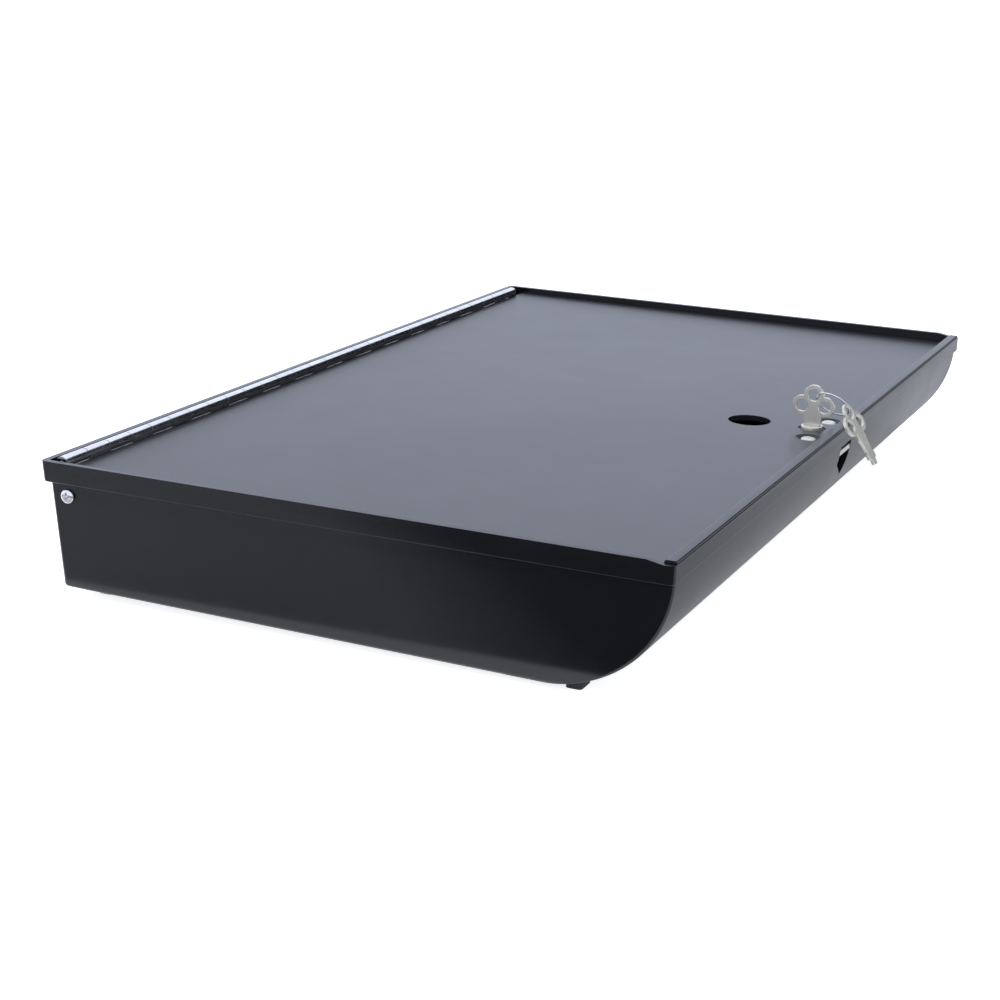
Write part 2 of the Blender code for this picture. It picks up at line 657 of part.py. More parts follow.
def build_lock_rivets(material, parent):
    seat = lid_top(LOCK_RIVET_Y) - DISH_DEPTH + GAP
    tail = LID_AT_LOCK - LID_THICK - LOCK_PLATE_THICK - 0.0012
    head = LOCK_RIVET_HEAD_R
    profile = [(0.0, tail), (LOCK_RIVET_R, tail), (LOCK_RIVET_R, seat), (head, seat),
               (head * 0.88, seat + LOCK_RIVET_HEAD * 0.47), (head * 0.5, seat + LOCK_RIVET_HEAD * 0.87),
               (0.0, seat + LOCK_RIVET_HEAD)]
    for name, x in (("lock_rivet_left", -LOCK_RIVET_X), ("lock_rivet_right", LOCK_RIVET_X)):
        new_object(name, turned_mesh(profile, (x, LOCK_RIVET_Y, 0.0), "Z", 20), material, parent)


def build_plug(material, parent):
    """Turning plug with the keyway, and a stub below that carries the cam."""
    top = LID_AT_LOCK + PLUG_RISE
    stub_end = CAM_TOP - CAM_THICK + 0.0002
    chamfer = 0.0004
    profile = [(0.0, stub_end), (STUB_R, stub_end), (STUB_R, LOCK_BOTTOM - GAP),
               (PLUG_R, LOCK_BOTTOM - GAP), (PLUG_R, top - chamfer), (PLUG_R - chamfer, top), (0.0, top)]
    plug = new_object("lock_plug", turned_mesh(profile, (0.0, LOCK_Y, 0.0), "Z", 28), material, parent)
    slot_x = KEY_THICK / 2 + GAP
    slot_y = KEY_BIT_HALF + GAP
    bottom = KEY_TOP_Z - KEY_LENGTH - GAP
    cut(plug, box_mesh((-slot_x, LOCK_Y - slot_y, bottom), (slot_x, LOCK_Y + slot_y, top + 0.002)))
    cut(plug, rod_mesh((0.0, LOCK_Y, stub_end - 0.001), CAM_SCREW_R + GAP / 2, 0.0022, "Z", 12))


def build_cam(material, parent):
    """Flat steel cam, turned clear of the front wall at rest."""
    width = CAM_HALF_W
    corner_x = CAM_LENGTH - CAM_CORNER_R
    outline = arc((0.0, LOCK_Y), width, 90, 270, 10)
    outline += arc((corner_x, LOCK_Y - width + CAM_CORNER_R), CAM_CORNER_R, 270, 360, 3)
    outline += arc((corner_x, LOCK_Y + width - CAM_CORNER_R), CAM_CORNER_R, 0, 90, 3)
    cam = new_object("lock_cam", prism_mesh(outline, "Z", CAM_TOP - CAM_THICK, CAM_TOP), material, parent)
    cut(cam, rod_mesh((0.0, LOCK_Y, CAM_TOP - 0.003), STUB_R + GAP, 0.006, "Z", 20))


def build_cam_screw(material, parent):
    low = CAM_TOP - CAM_THICK - GAP
    profile = [(0.0, low - 0.0012), (0.0034, low - 0.0010), (0.0042, low - 0.0004), (0.0042, low),
               (CAM_SCREW_R, low), (CAM_SCREW_R, low + 0.0010), (0.0, low + 0.0010)]
    new_object("cam_screw", turned_mesh(profile, (0.0, LOCK_Y, 0.0), "Z", 20), material, parent)


def build_strike(material, screw_material):
    """Angle behind the curved front whose lip stands in the slot, over the locked cam."""
    low, high = STRIKE_Z
    leg_front = front_of(STRIKE_Z[0], WALL) + 0.0004
    leg_rear = leg_front + STRIKE_THICK
    leg = box_mesh((STRIKE_X[0], leg_front, low), (STRIKE_X[1], leg_rear, high))
    strike = new_object("strike_plate", leg, material)
    fuse(strike, box_mesh((SLOT_X[0] + GAP, FRONT_Y + 0.0016, STRIKE_LIP_Z[0]),
                          (SLOT_X[1] - GAP, leg_front + STRIKE_THICK / 2, STRIKE_LIP_Z[1])))
    cut(strike, box_mesh((SLOT_X[0] + 2 * GAP, leg_front - CUT_MARGIN, STRIKE_LIP_Z[1] + GAP / 2),
                         (SLOT_X[1] - 2 * GAP, leg_rear + CUT_MARGIN, high - CUT_MARGIN)))
    for name, x in STRIKE_SCREWS:
        place = (x, leg_front - CUT_MARGIN, STRIKE_SCREW_Z)
        cut(strike, rod_mesh(place, STRIKE_SCREW_R + GAP, STRIKE_THICK + 2 * CUT_MARGIN, "Y", 16))
        head = leg_rear + GAP
        tip = leg_front - GAP / 2
        profile = [(0.0, tip), (STRIKE_SCREW_R, tip), (STRIKE_SCREW_R, head), (0.0023, head),
                   (0.0021, head + 0.0009), (0.0, head + 0.0012)]
        new_object(name, turned_mesh(profile, (x, 0.0, STRIKE_SCREW_Z), "Y", 16), screw_material)


# ---- keys ----
def key_mesh():
    """Flat stamped key in its own plane: Y across, Z along, X through; the top hole at the origin."""
    half = KEY_THICK / 2
    bow = rod_mesh((-half, 0.0, 0.0), LOBE_R, KEY_THICK, "X", 28)
    key = new_object("key_blank", bow, bpy.data.materials[0])
    for side in (-1, 1):
        fuse(key, rod_mesh((-half, side * LOBE_OFFSET, -LOBE_OFFSET), LOBE_R, KEY_THICK, "X", 28))
    side = [(0.0030, -0.0028), (0.0048, -0.0080), (KEY_NECK_HALF, -0.0104),
            (KEY_NECK_HALF, 0.001 - KEY_NECK_END), (KEY_SHANK_HALF, -KEY_NECK_END),
            (KEY_SHANK_END_HALF, 0.0006 - KEY_BIT_TOP),
            (KEY_BIT_HALF, -KEY_BIT_TOP), (KEY_BIT_HALF, 0.0006 - KEY_BIT_END),
            (KEY_TIP_HALF, -KEY_BIT_END), (KEY_TIP_HALF, 0.0005 - KEY_LENGTH),
            (KEY_TIP_HALF - 0.0005, -KEY_LENGTH)]
    outline = side + [(-y, z) for y, z in reversed(side)]
    fuse(key, prism_mesh(outline, "X", -half + 0.00001, half - 0.00001))
    for y, z in ((0.0, 0.0), (-LOBE_OFFSET, -LOBE_OFFSET), (LOBE_OFFSET, -LOBE_OFFSET)):
        cut(key, rod_mesh((-half - 0.001, y, z), KEY_HOLE_R, KEY_THICK + 0.002, "X", 20))
    data = bmesh.new()
    data.from_mesh(key.data)
    bpy.data.objects.remove(key)
    return data


def build_keys(material, key_frame, spare_frame):
    data = key_mesh()
    data.transform(Matrix.Translation((0.0, LOCK_Y, KEY_TOP_Z)))
    new_object("key", data, material, key_frame)
    spare = key_mesh()
    twist = Matrix.Rotation(SPARE_TWIST, 4, "Z")
    lean = Matrix.Rotation(-SPARE_LEAN, 4, "X")
    yaw = Matrix.Rotation(SPARE_YAW, 4, "Z")
    spare.transform(Matrix.Translation(SPARE_HOLE) @ yaw @ lean @ twist)
    new_object("spare_key", spare, material, spare_frame)


def build_ring(material, parent):
    """Split ring as a plain round wire, leaning down towards the front."""
    data = bmesh.new()
    around = 32
    section = 8
    loops = []
    for step in range(around):
        angle = 2 * math.pi * step / around
        loop = []
        for side in range(section):
            turn = 2 * math.pi * side / section
            radius = RING_R + RING_WIRE_R * math.cos(turn)
            point = (radius * math.cos(angle), radius * math.sin(angle), RING_WIRE_R * math.sin(turn))
            loop.append(data.verts.new(point))
        loops.append(loop)
    for step in range(around):
        here = loops[step]
        there = loops[(step + 1) % around]
        for side in range(section):
            after = (side + 1) % section
            data.faces.new((here[side], there[side], there[after], here[after]))
    lean = Vector((0.0, 0.0, 1.0)).rotation_difference(RING_NORMAL.normalized()).to_matrix().to_4x4()
    data.transform(Matrix.Translation(RING_CENTRE) @ lean)
    new_object("key_ring", data, material, parent)


# ---- feet ----
def underside(y):
    """Height of the tray's underside at a distance from the front."""
    if y > CURVE_Y:
        return lifted(y, FLOOR_Z)
    return CURVE_Z - CURVE_RADIUS_Z * math.sqrt(1 - ((CURVE_Y - y) / CURVE_RADIUS_Y) ** 2)


def foot_outline(x, y):
    """A foot from above: a rectangle with rounded corners."""
    reach_x = FOOT_HALF_X - FOOT_CORNER_R
    reach_y = FOOT_HALF_Y - FOOT_CORNER_R
    points = []
    for index, (side_x, side_y) in enumerate(((1, 1), (-1, 1), (-1, -1), (1, -1))):
        centre = (x + side_x * reach_x, y + side_y * reach_y)
        points += arc(centre, FOOT_CORNER_R, 90 * index, 90 * index + 90, 4)
    return points


def build_feet(material):
    """Low rubber pads whose tops follow the curved or climbing underside."""
    places = {"foot_front_left": (-FOOT_FRONT_X, FOOT_FRONT_Y),
              "foot_front_right": (FOOT_FRONT_X, FOOT_FRONT_Y),
              "foot_rear_left": (-FOOT_REAR_X, FOOT_REAR_Y),
              "foot_rear_right": (FOOT_REAR_X, FOOT_REAR_Y)}
    tall = 0.012
    steps = 6
    for name, (x, y) in places.items():
        foot = new_object(name, prism_mesh(foot_outline(x, y), "Z", 0.0, tall), material)
        low = y - FOOT_HALF_Y - CUT_MARGIN
        span = 2 * (FOOT_HALF_Y + CUT_MARGIN)
        along = [low + span * step / steps for step in range(steps + 1)]
        above = [(place, underside(place) - GAP) for place in along]
        above += [(low + span, tall + CUT_MARGIN), (low, tall + CUT_MARGIN)]
        reach = FOOT_HALF_X + CUT_MARGIN
        cut(foot, prism_mesh(above, "X", x - reach, x + reach))


def make_frame(name, location, parent=None):
    """An empty on a joint's axis that carries the moving pieces."""
    empty = bpy.data.objects.new(name, None)
    empty.location = location
    bpy.context.scene.collection.objects.link(empty)
    bpy.context.view_layer.update()
    if parent is not None:
        empty.parent = parent
        empty.matrix_parent_inverse = parent.matrix_world.inverted()
        bpy.context.view_layer.update()
    return empty


def main():
    for obj in list(bpy.data.objects):
        bpy.data.objects.remove(obj)
    plastic = make_material("black_abs", (0.012, 0.013, 0.016), 0.28)
    divider_plastic = make_material("black_divider_plastic", (0.02, 0.02, 0.024), 0.45)
    chrome = make_material("bright_plated_steel", (0.80, 0.81, 0.83), 0.16, 1.0)
    zinc = make_material("zinc_plated_steel", (0.62, 0.63, 0.64), 0.35, 1.0)
    nickel = make_material("nickel_plated_brass", (0.72, 0.70, 0.64), 0.30, 1.0)
    dark_metal = make_material("dark_lock_metal", (0.05, 0.05, 0.055), 0.35, 1.0)
    rubber = make_material("black_rubber", (0.02, 0.02, 0.02), 0.8)

    lid_frame = make_frame("lid_axis", (0.0, HINGE_Y, HINGE_Z))
    plug_frame = make_frame("plug_axis", (0.0, LOCK_Y, LID_AT_LOCK), lid_frame)
    key_frame = make_frame("key_axis", (0.0, LOCK_Y, KEY_TOP_Z), plug_frame)
    ring_frame = make_frame("ring_axis", (0.0, LOCK_Y, KEY_TOP_Z), key_frame)
    spare_frame = make_frame("spare_axis", SPARE_HOLE, ring_frame)

    build_tray(plastic)
    build_cross_wall(divider_plastic)
    build_dividers("coin_divider", coin_outline(), COIN_DIVIDERS, COIN_PITCH, divider_plastic)
    build_dividers("note_divider", note_outline(), NOTE_DIVIDERS, NOTE_PITCH, divider_plastic)
    build_feet(rubber)
    build_rail(zinc)
    build_rail_screws(chrome)
    build_strike(nickel, zinc)
    build_hinge(chrome, lid_frame)
    build_rivets(zinc, lid_frame)
    build_lid(plastic, lid_frame)
    build_lock_body(dark_metal, lid_frame)
    build_lock_nut(zinc, lid_frame)
    build_lock_plate(zinc, lid_frame)
    build_lock_rivets(nickel, lid_frame)
    build_plug(nickel, plug_frame)
    build_cam(zinc, plug_frame)
    build_cam_screw(zinc, plug_frame)
    build_keys(nickel, key_frame, spare_frame)
    build_ring(chrome, ring_frame)


main()
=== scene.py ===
"""Looks of a black cash box with a recessed, rear-hinged, locking lid.

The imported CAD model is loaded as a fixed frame. The large mouldings, hinge, lock, keys and ring are rebuilt
here with finer edges, and the other CAD nodes get small rounded edges and procedural materials.
"""
import json
import math

import bmesh
import bpy
from mathutils import Matrix, Vector


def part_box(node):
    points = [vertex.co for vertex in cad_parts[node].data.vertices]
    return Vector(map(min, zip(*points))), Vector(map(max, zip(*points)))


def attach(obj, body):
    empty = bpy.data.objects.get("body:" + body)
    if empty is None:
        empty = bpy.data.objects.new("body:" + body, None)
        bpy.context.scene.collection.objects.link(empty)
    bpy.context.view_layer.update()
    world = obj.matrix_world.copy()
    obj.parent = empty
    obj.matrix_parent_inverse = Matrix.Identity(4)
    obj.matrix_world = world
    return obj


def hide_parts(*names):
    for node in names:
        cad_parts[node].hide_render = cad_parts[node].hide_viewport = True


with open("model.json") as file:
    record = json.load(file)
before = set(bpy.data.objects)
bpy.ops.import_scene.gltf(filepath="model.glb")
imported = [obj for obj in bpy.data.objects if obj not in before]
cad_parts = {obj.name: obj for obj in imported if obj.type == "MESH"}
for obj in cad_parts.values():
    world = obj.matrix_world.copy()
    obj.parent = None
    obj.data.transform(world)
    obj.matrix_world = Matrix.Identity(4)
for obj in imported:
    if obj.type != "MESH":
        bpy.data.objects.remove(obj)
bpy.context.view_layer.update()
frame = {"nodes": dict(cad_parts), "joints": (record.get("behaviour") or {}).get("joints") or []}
nodes = frame["nodes"]

# ---- places that come from the CAD ----
tray_low, tray_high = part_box("base_tray")
lid_low, lid_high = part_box("lid_panel")
key_low, key_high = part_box("key")
ring_low, ring_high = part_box("key_ring")
plug_low, plug_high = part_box("lock_plug")
leaf_low, leaf_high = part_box("hinge_leaf_moving")
joints = {joint["name"]: joint for joint in frame["joints"]}

HALF_W = tray_high.x
FRONT_Y = tray_low.y
REAR_Y = tray_high.y
FLOOR_Z = tray_low.z
RIM_Z = tray_high.z
LOCK_Y = joints["lock_turn"]["pos_m"][1]
HINGE_Y = joints["lid_hinge"]["pos_m"][1]
HINGE_Z = joints["lid_hinge"]["pos_m"][2]
SPARE_HOLE = Vector(joints["spare_key_swing"]["pos_m"])
KEY_TOP = Vector(joints["ring_swing"]["pos_m"])
GAP = 0.0003

# ---- tray ----
WALL = 0.0024
RIM_WALL = 0.0026
BAND_HEIGHT = 0.0086
BAND_Z = RIM_Z - BAND_HEIGHT
BAND_EDGE = 0.0007
INNER_LEDGE_Z = RIM_Z - 0.0074
SIDE_STEP = 0.0028
REAR_STEP = 0.0023
REAR_BAND_DRAFT = 0.0009
FRONT_STEP = 0.0009
SIDE_DRAFT = 0.0040
REAR_DRAFT = 0.0021
UNDERSIDE_RISE = 0.0022
CURVE_RADIUS_Y = 0.0520
CURVE_RADIUS_Z = 0.0507
CURVE_Y = FRONT_Y + FRONT_STEP + CURVE_RADIUS_Y
CURVE_Z = FLOOR_Z + CURVE_RADIUS_Z
CURVE_STEPS = 40
EDGE_RADIUS = 0.0015
CORNER_RADIUS = 0.0022
LIP_DROP = 0.0012
LIP_RAMP_FRONT = 0.0043
LIP_RAMP_REAR = 0.0107
RELIEF_DEPTH = 0.0001
RELIEF_X = (-0.203, 0.147)
SLOT_X = (-0.0056, 0.0116)
SLOT_TOP = RIM_Z - 0.0098
SLOT_LEFT_BOTTOM = RIM_Z - 0.0184
SLOT_RIGHT_BOTTOM = RIM_Z - 0.0272
SCREW_Y = REAR_Y - 0.0112
SCREW_Z = RIM_Z - 0.0140
SCREW_R = 0.0015
SCREW_HEAD_R = 0.0030

# ---- lid ----
LID_THICK = 0.0025
LID_HALF_W = HALF_W - RIM_WALL - 0.0006
LID_REAR_Z = RIM_Z - 0.0027
LID_FRONT_Z = RIM_Z - 0.0043
LID_LIP_TOP = RIM_Z - 0.0001
LID_LIP_FRONT = FRONT_Y + 0.0002
RISER_FRONT = FRONT_Y + RIM_WALL + 0.0004
RISER_REAR = RISER_FRONT + 0.0022
LIP_GAP = 0.00015
FINGER_HOLE = (-0.001, FRONT_Y + 0.0458, 0.0097)

# ---- hinge ----
HINGE_X = -0.0048
BARREL_R = 0.0028
PIN_R = 0.0010
PIN_HOLE_R = 0.0014
BARREL_HALF = 0.221
LEAF_HALF = 0.2140
KNUCKLES = 29
LEAF_THICK = 0.0007
LEAF_BOTTOM = RIM_Z - 0.0168
LEAF_TOP = HINGE_Z - BARREL_R - 0.0004
MOVING_LEAF_Y = HINGE_Y - BARREL_R
FIXED_LEAF_Y = MOVING_LEAF_Y + LEAF_THICK + GAP
FLANGE_REAR = MOVING_LEAF_Y - GAP
FLANGE_THICK = 0.0022
LID_REAR_Y = FLANGE_REAR
RIVET_R = 0.0012
RIVET_COUNT = 6
RIVET_PITCH = 0.076
RAIL_RIVET_Z = RIM_Z - 0.0066
LID_RIVET_Z = RIM_Z - 0.0115

# ---- lock ----
LID_AT_LOCK = RIM_Z - 0.0043
LOCK_HOLE_R = 0.0062
LOCK_BODY_R = 0.0059
LOCK_SHOULDER_R = 0.0080
LOCK_SHOULDER_THICK = 0.0012
LOCK_BORE_R = 0.0053
PLUG_R = 0.0050
STUB_R = 0.0030
LOCK_BOTTOM = RIM_Z - 0.0152
CAM_TOP = RIM_Z - 0.0158
CAM_THICK = 0.0015
CAM_SCREW_R = 0.0012
LOCK_PLATE_THICK = 0.0012
LOCK_RIVET_X = 0.0168
LOCK_RIVET_Y = FRONT_Y + 0.0134
LOCK_RIVET_R = 0.0015
LOCK_RIVET_HEAD_R = 0.0035
LOCK_RIVET_HEAD = 0.0014
DISH_R = 0.0058
DISH_FLOOR_R = 0.0037
DISH_DEPTH = 0.0015

# ---- keys and ring ----
KEY_THICK = 0.0014
LOBE_R = 0.00465
LOBE_OFFSET = 0.00515
KEY_HOLE_R = 0.00275
KEY_NECK_HALF = 0.0040
KEY_SHANK_HALF = 0.0033
KEY_SHANK_END_HALF = 0.0029
KEY_BIT_HALF = 0.0038
KEY_TIP_HALF = 0.0019
KEY_NECK_END = 0.0140
KEY_BIT_TOP = 0.0198
KEY_BIT_END = 0.0230
KEY_LENGTH = 0.0256
RING_R = 0.0078
RING_WIRE_R = 0.00045
RING_NORMAL = Vector((0.704, -0.194, 0.683)).normalized()
RING_CENTRE = Vector((0.00057, FRONT_Y + 0.00802, RIM_Z + 0.00792))
SPARE_LEAN = math.radians(32.8)
SPARE_TWIST = math.radians(84.8)
SPARE_YAW = math.radians(-1.8)

# ---- studio ----
FLAG_FADE = (0.175, 0.235)
GREY_CARD = 0.64


# ---- materials ----
class Nodes:
    """Small helper that adds and links shader nodes."""

    def __init__(self, name):
        self.material = bpy.data.materials.new(name)
        self.material.use_nodes = True
        self.tree = self.material.node_tree
        self.shader = self.tree.nodes["Principled BSDF"]
        self.coords = self.tree.nodes.new("ShaderNodeTexCoord").outputs["Object"]

    def add(self, kind, **values):
        node = self.tree.nodes.new(kind)
        for name, value in values.items():
            if hasattr(node, name):
                setattr(node, name, value)
            else:
                node.inputs[name].default_value = value
        return node

    def link(self, source, target):
        self.tree.links.new(source, target)

    def noise(self, scale, detail=3.0, rough=0.55, stretch=None):
        node = self.add("ShaderNodeTexNoise", Scale=scale, Detail=detail, Roughness=rough)
        if stretch is None:
            self.link(self.coords, node.inputs["Vector"])
        else:
            mapping = self.add("ShaderNodeMapping")
            mapping.inputs["Scale"].default_value = stretch
            self.link(self.coords, mapping.inputs["Vector"])
            self.link(mapping.outputs["Vector"], node.inputs["Vector"])
        return node.outputs["Fac"]

    def span(self, source, low, high, start=0.3, end=0.7):
        """Map a noise value between start and end to low and high."""
        node = self.add("ShaderNodeMapRange")
        node.inputs["From Min"].default_value = start
        node.inputs["From Max"].default_value = end
        node.inputs["To Min"].default_value = low
        node.inputs["To Max"].default_value = high
        self.link(source, node.inputs["Value"])
        return node.outputs["Result"]

    def blend(self, factor, first, second):
        node = self.add("ShaderNodeMix", data_type="RGBA")
        node.inputs[6].default_value = (*first, 1.0)
        node.inputs[7].default_value = (*second, 1.0)
        self.link(factor, node.inputs[0])
        return node.outputs[2]

    def bump(self, height, strength, distance, after=None):
        node = self.add("ShaderNodeBump", Strength=strength, Distance=distance)
        self.link(height, node.inputs["Height"])
        if after is not None:
            self.link(after, node.inputs["Normal"])
        return node.outputs["Normal"]

    def finish(self, colour=None, roughness=None, normal=None, **values):
        for source, name in ((colour, "Base Color"), (roughness, "Roughness"), (normal, "Normal")):
            if source is not None:
                self.link(source, self.shader.inputs[name])
        for name, value in values.items():
            self.shader.inputs[name.replace("_", " ")].default_value = value
        return self.material


def moulded_plastic(name, dark, light, smooth, rough, grain, depth, ior):
    """Black moulding: fine spark texture, faint cloudiness and a few rubbed patches."""
    kit = Nodes(name)
    cloud = kit.noise(14.0, 4.0, 0.6)
    colour = kit.blend(kit.span(cloud, 0.0, 1.0), dark, light)
    patches = kit.span(kit.noise(42.0, 5.0, 0.65), smooth, rough)
    fine = kit.bump(kit.noise(grain, 2.0, 0.5), depth, 0.00006)
    waves = kit.bump(kit.noise(9.0, 1.0, 0.4), 0.12, 0.0004, fine)
    return kit.finish(colour, patches, waves, IOR=ior)


def plated_metal(name, dark, light, smooth, rough, depth, metallic=1.0):
    """Plated metal: soft cloudiness, a gentle swell and fine scuffs along one direction."""
    kit = Nodes(name)
    colour = kit.blend(kit.span(kit.noise(160.0, 3.0, 0.5), 0.0, 1.0), dark, light)
    rough_map = kit.span(kit.noise(240.0, 4.0, 0.6), smooth, rough)
    swell = kit.bump(kit.noise(210.0, 1.0, 0.4), depth, 0.0003)
    scuffs = kit.bump(kit.noise(900.0, 2.0, 0.5, (1.0, 0.2, 0.2)), depth, 0.00002, swell)
    return kit.finish(colour, rough_map, scuffs, Metallic=metallic)


def rubber():
    kit = Nodes("black_rubber")
    colour = kit.blend(kit.span(kit.noise(300.0), 0.0, 1.0), (0.011, 0.011, 0.011), (0.024, 0.023, 0.022))
    normal = kit.bump(kit.noise(1400.0, 4.0), 0.4, 0.0001)
    return kit.finish(colour, kit.span(kit.noise(500.0), 0.62, 0.85), normal)


BODY = moulded_plastic("black_body_plastic", (0.0042, 0.0046, 0.0056), (0.0056, 0.0060, 0.0072),
                       0.17, 0.22, 2600.0, 0.10, 1.47)
LID = moulded_plastic("black_lid_plastic", (0.0090, 0.0095, 0.0110), (0.0100, 0.0105, 0.0120),
                      0.29, 0.31, 1700.0, 0.22, 1.5)
DIVIDER = moulded_plastic("black_divider_plastic", (0.011, 0.011, 0.012), (0.017, 0.017, 0.018),
                          0.38, 0.50, 1500.0, 0.40, 1.5)
CHROME = plated_metal("bright_plated_steel", (0.72, 0.71, 0.70), (0.84, 0.83, 0.82), 0.10, 0.16, 0.05)
ZINC = plated_metal("zinc_plated_steel", (0.50, 0.50, 0.49), (0.66, 0.66, 0.64), 0.32, 0.44, 0.20)
NICKEL = plated_metal("nickel_plated_brass", (0.68, 0.64, 0.54), (0.78, 0.74, 0.63), 0.20, 0.27, 0.08, 0.6)
LOCK_CASE = plated_metal("dark_lock_metal", (0.030, 0.030, 0.032), (0.050, 0.050, 0.054), 0.26, 0.40, 0.15)
RUBBER = rubber()


# ---- mesh helpers ----
def new_object(name, data, material):
    bmesh.ops.recalc_face_normals(data, faces=data.faces)
    mesh = bpy.data.meshes.new(name)
    data.to_mesh(mesh)
    data.free()
    mesh.shade_smooth()
    obj = bpy.data.objects.new(name, mesh)
    obj.data.materials.append(material)
    bpy.context.scene.collection.objects.link(obj)
    return obj


def round_edges(obj, width, segments=3, angle=32):
    """Bevel the sharp edges, with flat faces kept flat in shading."""
    modifier = obj.modifiers.new("round_edges", "BEVEL")
    modifier.width = width
    modifier.segments = segments
    modifier.limit_method = "ANGLE"
    modifier.angle_limit = math.radians(angle)
    modifier.use_clamp_overlap = True
    modifier.harden_normals = True
    modifier.miter_outer = "MITER_ARC"
    return obj


def stand_for(obj, body, slot, *cad_nodes):
    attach(obj, body)
    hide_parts(*cad_nodes)
    return obj


def box_mesh(low, high):
    data = bmesh.new()
    bmesh.ops.create_cube(data, size=1.0)
    for vert in data.verts:
        for axis in range(3):
            vert.co[axis] = high[axis] if vert.co[axis] > 0 else low[axis]
    return data


def prism_mesh(outline, axis, start, end):
    """Extrude a closed outline along X, Y or Z; the outline's two numbers are the other two axes."""
    def place(pair, along):
        point = list(pair)
        point.insert("XYZ".index(axis), along)
        return point
    data = bmesh.new()
    first = [data.verts.new(place(pair, start)) for pair in outline]
    last = [data.verts.new(place(pair, end)) for pair in outline]
    data.faces.new(first)
    data.faces.new(last)
    for i, vert in enumerate(first):
        j = (i + 1) % len(first)
        data.faces.new((vert, first[j], last[j], last[i]))
    return data


def turned_mesh(profile, centre, axis="Z", segments=48):
    """Spin a closed (radius, height) outline, which may touch the axis."""
    data = bmesh.new()
    rings = []
    for radius, height in profile:
        if radius < 1e-7:
            rings.append([data.verts.new((0.0, 0.0, height))])
            continue
        angles = [2 * math.pi * step / segments for step in range(segments)]
        rings.append([data.verts.new((radius * math.cos(a), radius * math.sin(a), height)) for a in angles])
    for index, ring in enumerate(rings):
        following = rings[(index + 1) % len(rings)]
        if len(ring) == 1 and len(following) == 1:
            continue
        for step in range(segments):
            after = (step + 1) % segments
            corners = [ring[step % len(ring)], ring[after % len(ring)],
                       following[after % len(following)], following[step % len(following)]]
            data.faces.new(list(dict.fromkeys(corners)))
    turn = {"X": Matrix.Rotation(math.pi / 2, 4, "Y"), "Y": Matrix.Rotation(-math.pi / 2, 4, "X"),
            "Z": Matrix.Identity(4)}[axis]
    data.transform(Matrix.Translation(Vector(centre)) @ turn)
    return data


def rod_mesh(centre, radius, length, axis="Z", segments=48):
    return turned_mesh([(0.0, 0.0), (radius, 0.0), (radius, length), (0.0, length)], centre, axis, segments)


def apply_boolean(obj, data, operation):
    tool = new_object(obj.name + "_tool", data, obj.data.materials[0])
    modifier = obj.modifiers.new("boolean", "BOOLEAN")
    modifier.operation = operation
    modifier.solver = "EXACT"
    modifier.object = tool
    depsgraph = bpy.context.evaluated_depsgraph_get()
    result = bpy.data.meshes.new_from_object(obj.evaluated_get(depsgraph))
    obj.modifiers.clear()
    obj.data = result
    bpy.data.objects.remove(tool)


def cut(obj, data):
    apply_boolean(obj, data, "DIFFERENCE")


def fuse(obj, data):
    apply_boolean(obj, data, "UNION")


def arc(centre, radius, start, end, steps):
    points = []
    for step in range(steps + 1):
        angle = math.radians(start + (end - start) * step / steps)
        points.append((centre[0] + radius * math.cos(angle), centre[1] + radius * math.sin(angle)))
    return points


# ---- tray ----
def section_points(half_w, front, rear, radius):
    corners = ((half_w - radius, front + radius, -90), (half_w - radius, rear - radius, 0),
               (radius - half_w, rear - radius, 90), (radius - half_w, front + radius, 180))
    points = []
    for x, y, start in corners:
        points += arc((x, y), radius, start, start + 90, 6)
    return points


def front_of(z, inset):
    drop = min(max(CURVE_Z - z, 0.0) / (CURVE_RADIUS_Z - inset), 1.0)
    return CURVE_Y - (CURVE_RADIUS_Y - inset) * math.sqrt(1 - drop ** 2)


def lifted(y, z):
    """Height after the slight climb of the underside towards the rear; the band stays level."""
    if z > BAND_Z:
        return z
    along = max(y - CURVE_Y, 0.0) / (REAR_Y - CURVE_Y)
    return z + UNDERSIDE_RISE * along * (BAND_Z - z) / (BAND_Z - FLOOR_Z)


def body_level(z, inset):
    drop = (BAND_Z - z) / (BAND_Z - FLOOR_Z)
    round_z = FLOOR_Z + inset + EDGE_RADIUS
    tuck = 0.0
    if z < round_z:
        ratio = min((round_z - z) / EDGE_RADIUS, 1.0)
        tuck = EDGE_RADIUS * (1 - math.sqrt(1 - ratio ** 2))
    half_w = HALF_W - SIDE_STEP - SIDE_DRAFT * drop - inset - tuck
    rear = REAR_Y - REAR_STEP - REAR_DRAFT * drop - inset - tuck
    return half_w, front_of(z, inset), rear, z


def body_levels(inset):
    """Levels down the curved front, close together near the floor."""
    radius = CURVE_RADIUS_Z - inset
    start = math.asin((CURVE_Z - BAND_Z) / radius)
    levels = []
    for step in range(CURVE_STEPS + 1):
        angle = start + (math.pi / 2 - start) * step / CURVE_STEPS
        levels.append(body_level(CURVE_Z - radius * math.sin(angle), inset))
    return levels


def tray_skin(outer, inner):
    data = bmesh.new()

    def add_rings(levels, trim):
        rings = []
        for half_w, front, rear, z in levels:
            radius = max(CORNER_RADIUS - trim, 0.0008)
            points = section_points(half_w, front, rear, radius)
            rings.append([data.verts.new((x, y, lifted(y, z))) for x, y in points])
        return rings

    def bridge(first, second):
        for i, vert in enumerate(first):
            j = (i + 1) % len(first)
            data.faces.new((vert, first[j], second[j], second[i]))

    outer_rings = add_rings(outer, 0.0)
    inner_rings = add_rings(inner, 0.0008)
    for rings in (outer_rings, inner_rings):
        for first, second in zip(rings, rings[1:]):
            bridge(first, second)
        data.faces.new(rings[-1])
    bridge(outer_rings[0], inner_rings[0])
    return data


